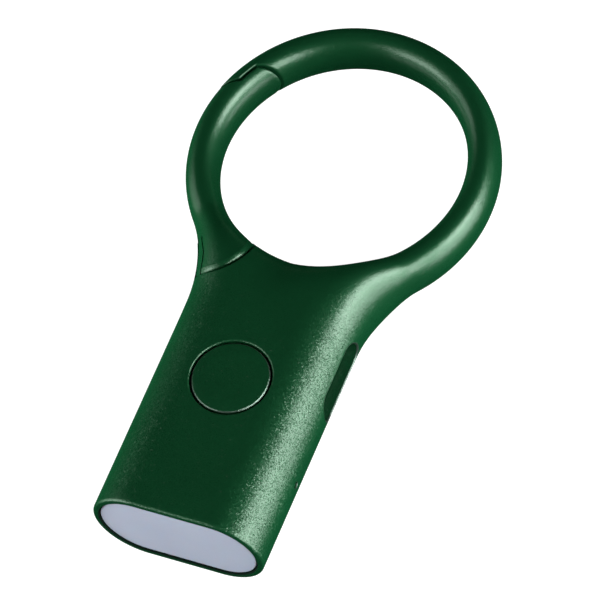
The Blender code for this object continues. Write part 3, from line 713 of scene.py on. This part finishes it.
def green_metal(name, dye_and_highlight, metallic):
    """Blasted and dyed metal: a clear sealed skin over the colour given, deep green for most of the torch
    and lighter on rounded edges, where it paints a highlight along with wear. Its grains each tilt their
    own way. The grain is strong on the body and fades towards the ring."""
    made, nodes, links, shader, place = node_material(name)
    grain = nodes.new("ShaderNodeTexVoronoi")
    grain.inputs["Scale"].default_value = 1 / GRAIN_SIZE
    links.new(place, grain.inputs["Vector"])
    chance = nodes.new("ShaderNodeTexWhiteNoise")
    links.new(grain.outputs["Position"], chance.inputs["Vector"])
    along = nodes.new("ShaderNodeSeparateXYZ")
    links.new(place, along.inputs[0])
    fade = nodes.new("ShaderNodeMapRange")
    for socket, value in zip(fade.inputs[1:5], (GRAIN_FADES_FROM, GRAIN_FADES_TO, 1.0, RING_GRAIN)):
        socket.default_value = value
    links.new(along.outputs["Y"], fade.inputs["Value"])
    surface = nodes.new("ShaderNodeNewGeometry")

    rare = computed(nodes, links, "Math", "POWER", chance.outputs["Value"], STEEP_RARITY)
    steep = computed(nodes, links, "Math", "MULTIPLY_ADD", rare, STEEP_TILT, GRAIN_TILT)
    strength = computed(nodes, links, "Math", "MULTIPLY", steep, fade.outputs["Result"])
    centred = computed(nodes, links, "VectorMath", "SUBTRACT", grain.outputs["Color"], (0.5, 0.5, 0.5))
    tilt = computed(nodes, links, "VectorMath", "SCALE", centred, strength)
    turned = computed(nodes, links, "VectorMath", "ADD", surface.outputs["Normal"], tilt)
    facing = computed(nodes, links, "VectorMath", "NORMALIZE", turned)
    links.new(facing, shader.inputs["Coat Normal"])
    links.new(facing, shader.inputs["Normal"])

    cloud = noise(nodes, links, place, 130, 3.0)
    darker, lighter = (tuple(c * share for c in dye_and_highlight) for share in (0.95, 1.05))
    colour = ramp(nodes, links, cloud, [(0.3, darker), (0.7, lighter)])
    links.new(colour, shader.inputs["Base Color"])
    speck = noise(nodes, links, place, 5200, 1.0)
    links.new(ramp(nodes, links, speck, [(0.3, 0.36), (0.7, 0.44)]), shader.inputs["Roughness"])
    shader.inputs["Metallic"].default_value = metallic
    shader.inputs["Specular IOR Level"].default_value = 0.0
    shader.inputs["Coat Roughness"].default_value = COAT_ROUGHNESS
    grazing = nodes.new("ShaderNodeLayerWeight")
    grazing.inputs["Blend"].default_value = 0.5
    links.new(
        ramp(nodes, links, grazing.outputs["Facing"], [(0.3, 1.0), (0.75, 0.12)]),
        shader.inputs["Coat Weight"],
    )
    shader.inputs["Specular Tint"].default_value = (0.25, 0.55, 0.35, 1.0)
    return made


def plain(name, colour, roughness, metallic=0.0, scale=900.0, depth=0.25, **more):
    """A moulded or bare finish with slight mottling in colour, roughness and relief."""
    made, nodes, links, shader, place = node_material(name)
    mottle = noise(nodes, links, place, scale, 4.0)
    darker = tuple(c * 0.82 for c in colour)
    lighter = tuple(min(1.0, c * 1.12) for c in colour)
    links.new(ramp(nodes, links, mottle, [(0.3, darker), (0.7, lighter)]), shader.inputs["Base Color"])
    spread = noise(nodes, links, place, scale * 2.7, 3.0)
    rough = ramp(nodes, links, spread, [(0.25, roughness * 0.85), (0.75, min(1.0, roughness * 1.15))])
    links.new(rough, shader.inputs["Roughness"])
    links.new(bump(nodes, links, spread, depth, 0.00003), shader.inputs["Normal"])
    shader.inputs["Metallic"].default_value = metallic
    for socket, value in more.items():
        shader.inputs[socket.replace("_", " ")].default_value = value
    return made


def brushed_steel():
    """Drawn steel: fine level streaks, squeezed along Z."""
    made, nodes, links, shader, place = node_material("steel")
    stretch = nodes.new("ShaderNodeMapping")
    stretch.inputs["Scale"].default_value = (1.0, 1.0, 14.0)
    links.new(place, stretch.inputs["Vector"])
    streak = noise(nodes, links, stretch.outputs["Vector"], 2200, 3.0)
    links.new(
        ramp(nodes, links, streak, [(0.3, (0.50, 0.50, 0.50)), (0.7, (0.66, 0.66, 0.65))]),
        shader.inputs["Base Color"],
    )
    links.new(ramp(nodes, links, streak, [(0.2, 0.22), (0.8, 0.36)]), shader.inputs["Roughness"])
    links.new(bump(nodes, links, streak, 0.2, 0.00001), shader.inputs["Normal"])
    shader.inputs["Metallic"].default_value = 1.0
    return made


def frosted():
    """Matt opal lens."""
    made, nodes, links, shader, place = node_material("frost")
    cloud = noise(nodes, links, place, 160, 2.0)
    links.new(
        ramp(nodes, links, cloud, [(0.3, (0.315, 0.35, 0.435)), (0.7, (0.335, 0.37, 0.455))]),
        shader.inputs["Base Color"],
    )
    haze = noise(nodes, links, place, 6000, 2.0)
    links.new(ramp(nodes, links, haze, [(0.3, 0.5), (0.7, 0.62)]), shader.inputs["Roughness"])
    links.new(bump(nodes, links, haze, 0.08, 0.00002), shader.inputs["Normal"])
    shader.inputs["Subsurface Weight"].default_value = 0.2
    shader.inputs["Subsurface Scale"].default_value = 0.001
    return made


def circuit_board():
    """Solder mask over tracks: fine raised lines in two directions under a glossy green lacquer."""
    made, nodes, links, shader, place = node_material("board")
    lines = nodes.new("ShaderNodeTexBrick")
    lines.inputs["Scale"].default_value = 420
    lines.inputs["Color1"].default_value = (0.010, 0.12, 0.055, 1.0)
    lines.inputs["Color2"].default_value = (0.014, 0.15, 0.070, 1.0)
    lines.inputs["Mortar"].default_value = (0.05, 0.26, 0.12, 1.0)
    lines.inputs["Mortar Size"].default_value = 0.03
    links.new(place, lines.inputs["Vector"])
    links.new(lines.outputs["Color"], shader.inputs["Base Color"])
    weave = noise(nodes, links, place, 3000, 3.0)
    links.new(ramp(nodes, links, weave, [(0.3, 0.3), (0.7, 0.45)]), shader.inputs["Roughness"])
    links.new(bump(nodes, links, lines.outputs["Fac"], 0.3, 0.00003), shader.inputs["Normal"])
    return made


def make_materials():
    return {
        "green_metal": green_metal("green_metal", DYE, 0.5),
        # Lighter metal on rounded lips and the button's rim: edge wear, and a painted highlight
        "rubbed_highlight_metal": green_metal("rubbed_highlight_metal", RUBBED_HIGHLIGHT, 0.9),
        "steel": brushed_steel(),
        "frost": frosted(),
        "board": circuit_board(),
        "silicone": plain("silicone", (0.045, 0.045, 0.05), 0.75),
        "black_plastic": plain("black_plastic", (0.022, 0.022, 0.024), 0.5),
        # Painted shade: the lamp opening's inner wall, near-black green with little reflection, stands in
        # for the shade in the recess
        "window_wall_shade": plain("window_wall_shade", (0.003, 0.010, 0.006), 0.9, Specular_IOR_Level=0.05),
        "grey_plastic": plain("grey_plastic", (0.17, 0.17, 0.18), 0.55),
        "white_plastic": plain("white_plastic", (0.80, 0.80, 0.78), 0.4),
        "clear": plain("clear", (0.78, 0.82, 0.80), 0.15, Transmission_Weight=0.6, IOR=1.49),
        "led": plain("led", (0.82, 0.66, 0.16), 0.35, scale=1800.0, Coat_Weight=0.6),
        "ceramic": plain("ceramic", (0.30, 0.22, 0.14), 0.45, scale=2400.0),
        "pouch": plain("pouch", (0.55, 0.56, 0.58), 0.3, 0.9, scale=420.0, depth=0.6),
        "foam": plain("foam", (0.05, 0.05, 0.055), 0.95, scale=3200.0, depth=1.0),
        "red_wire": plain("red_wire", (0.45, 0.02, 0.02), 0.45),
        "black_wire": plain("black_wire", (0.015, 0.015, 0.016), 0.45),
    }


def dress(obj, *materials):
    """The object's materials, in place of any that it has. If it has none, its faces keep the places in
    the list that they were given."""
    if obj.data.materials:
        obj.data.materials.clear()
    for material in materials:
        obj.data.materials.append(material)


def copy_of(node, name, material):
    """A piece with a CAD node's shape. The node's faces come with corners of their own, so they are joined
    up first."""
    bm = bmesh.new()
    bm.from_mesh(frame["nodes"][node].data)
    bmesh.ops.remove_doubles(bm, verts=bm.verts, dist=WELD)
    obj = object_from(name, bm, sharp=50)
    dress(obj, material)
    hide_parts(node)
    return obj


def place_springs(steel):
    """The gate's coil, from its body leg at the low end to its gate leg at the high end, and the snap dome
    under the button, which rides on the body."""
    coil = copy_of("gate_spring", "gate_spring_wire", steel)
    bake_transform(coil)
    dome = copy_of("switch_dome", "switch_dome_disc", steel)
    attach(dome, "body")
    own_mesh(dome)


def place_pieces(materials):
    for entry in frame["record"]["subparts"]:
        dress(frame["nodes"][entry["node"]], materials[entry["material_slot"]])
    # The second metal is lighter: a painted highlight, with wear, on rounded edges
    metal, rubbed_highlight = materials["green_metal"], materials["rubbed_highlight_metal"]
    housing = make_housing(metal, rubbed_highlight, materials["window_wall_shade"])
    button = make_button()
    dress(button, metal, rubbed_highlight)
    gate = make_gate()
    dress(gate, metal)
    diffuser = make_diffuser()
    dress(diffuser, materials["frost"])
    skins = (
        (housing, "housing", "body", "green_metal"),
        (gate, "gate", "gate", "green_metal"),
        (button, "button_cap", "button", "green_metal"),
        (diffuser, "diffuser", "body", "frost"),
    )
    for obj, node, body, finish in skins:
        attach(obj, body)
        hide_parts(node)
    place_springs(materials["steel"])


# Studio

LIGHT_DISTANCE = 0.6
# Azimuth, elevation, width and height in degrees, then radiance
SOFT_BOXES = {
    "key": (6, 16, 46, 46, 6.2),
    "key_core": (8, 19, 30, 20, 5.6),
    "key_low": (2, -15, 44, 20, 4.2),
    "key_left": (-34, 16, 24, 44, 8.0),
    "left_fill": (224, 8, 38, 36, 3.8),
    "left_spread": (212, 12, 80, 70, 1.2),
    "left_wrap": (178, -6, 60, 60, 7.0),
    "under_fill": (125, -50, 60, 60, 1.2),
}
UNREFLECTED = ("left_wrap", "under_fill")  # these light the metal without a highlight of their own
SURROUNDINGS = 0.95
CAMERA_PLACE = (0.25109, -0.35381, 0.69455)
CAMERA_TURN = (31.09, 8.343, 21.765)  # degrees
FOCAL_LENGTH = 397.1


def soft_box(name, azimuth, elevation, width, height, radiance):
    """A soft box seen from the torch at a direction and with a width and height, all in degrees."""
    turn, lift = math.radians(azimuth), math.radians(elevation)
    towards = Vector((math.cos(lift) * math.cos(turn), math.cos(lift) * math.sin(turn), math.sin(lift)))
    light = bpy.data.lights.new(name, "AREA")
    light.shape = "RECTANGLE"
    light.size = 2 * LIGHT_DISTANCE * math.tan(math.radians(width / 2))
    light.size_y = 2 * LIGHT_DISTANCE * math.tan(math.radians(height / 2))
    light.energy = radiance * light.size * light.size_y * math.pi
    obj = bpy.data.objects.new(name, light)
    obj.location = towards * LIGHT_DISTANCE + Vector((0, 0, MID_HEIGHT))
    obj.rotation_euler = towards.to_track_quat("Z", "Y").to_euler()
    bpy.context.scene.collection.objects.link(obj)
    return obj


def make_floor():
    bm = bmesh.new()
    bmesh.ops.create_grid(bm, x_segments=8, y_segments=8, size=1.5)
    floor = object_from("floor", bm)
    floor.location = (0.0, 0.0, -0.0001)
    made, nodes, links, shader, place = node_material("floor_card")
    fibre = noise(nodes, links, place, 300, 3.0)
    links.new(ramp(nodes, links, fibre, [(0.3, 0.28), (0.7, 0.30)]), shader.inputs["Base Color"])
    shader.inputs["Roughness"].default_value = 1.0
    shader.inputs["Specular IOR Level"].default_value = 0.0
    shader.inputs["Emission Color"].default_value = (1.0, 1.0, 1.0, 1.0)
    shader.inputs["Emission Strength"].default_value = 1.0
    dress(floor, made)
    floor.visible_diffuse = False
    floor.visible_glossy = False
    floor.visible_shadow = False


def make_studio():
    """Pale floor and surroundings that the metal's shading and reflections leave out, and soft boxes round
    the torch, most of them low on the right and the left."""
    make_floor()
    for name, settings in SOFT_BOXES.items():
        soft_box(name, *settings).visible_glossy = name not in UNREFLECTED
    world = bpy.data.worlds.new("studio")
    bpy.context.scene.world = world
    world.use_nodes = True
    background = world.node_tree.nodes["Background"]
    background.inputs["Color"].default_value = (1.0, 1.0, 1.0, 1.0)
    background.inputs["Strength"].default_value = SURROUNDINGS
    world.cycles_visibility.diffuse = False
    world.cycles_visibility.glossy = False
    world.cycles_visibility.transmission = False
    bpy.context.scene.view_settings.view_transform = "Standard"


def make_camera():
    camera = bpy.data.cameras.new("camera")
    camera.sensor_width = 36
    camera.lens = FOCAL_LENGTH
    camera.clip_start = 0.01
    camera.clip_end = 10
    obj = bpy.data.objects.new("camera", camera)
    obj.location = CAMERA_PLACE
    obj.rotation_euler = [math.radians(angle) for angle in CAMERA_TURN]
    bpy.context.scene.collection.objects.link(obj)
    bpy.context.scene.camera = obj


make_camera()
make_studio()
place_pieces(make_materials())
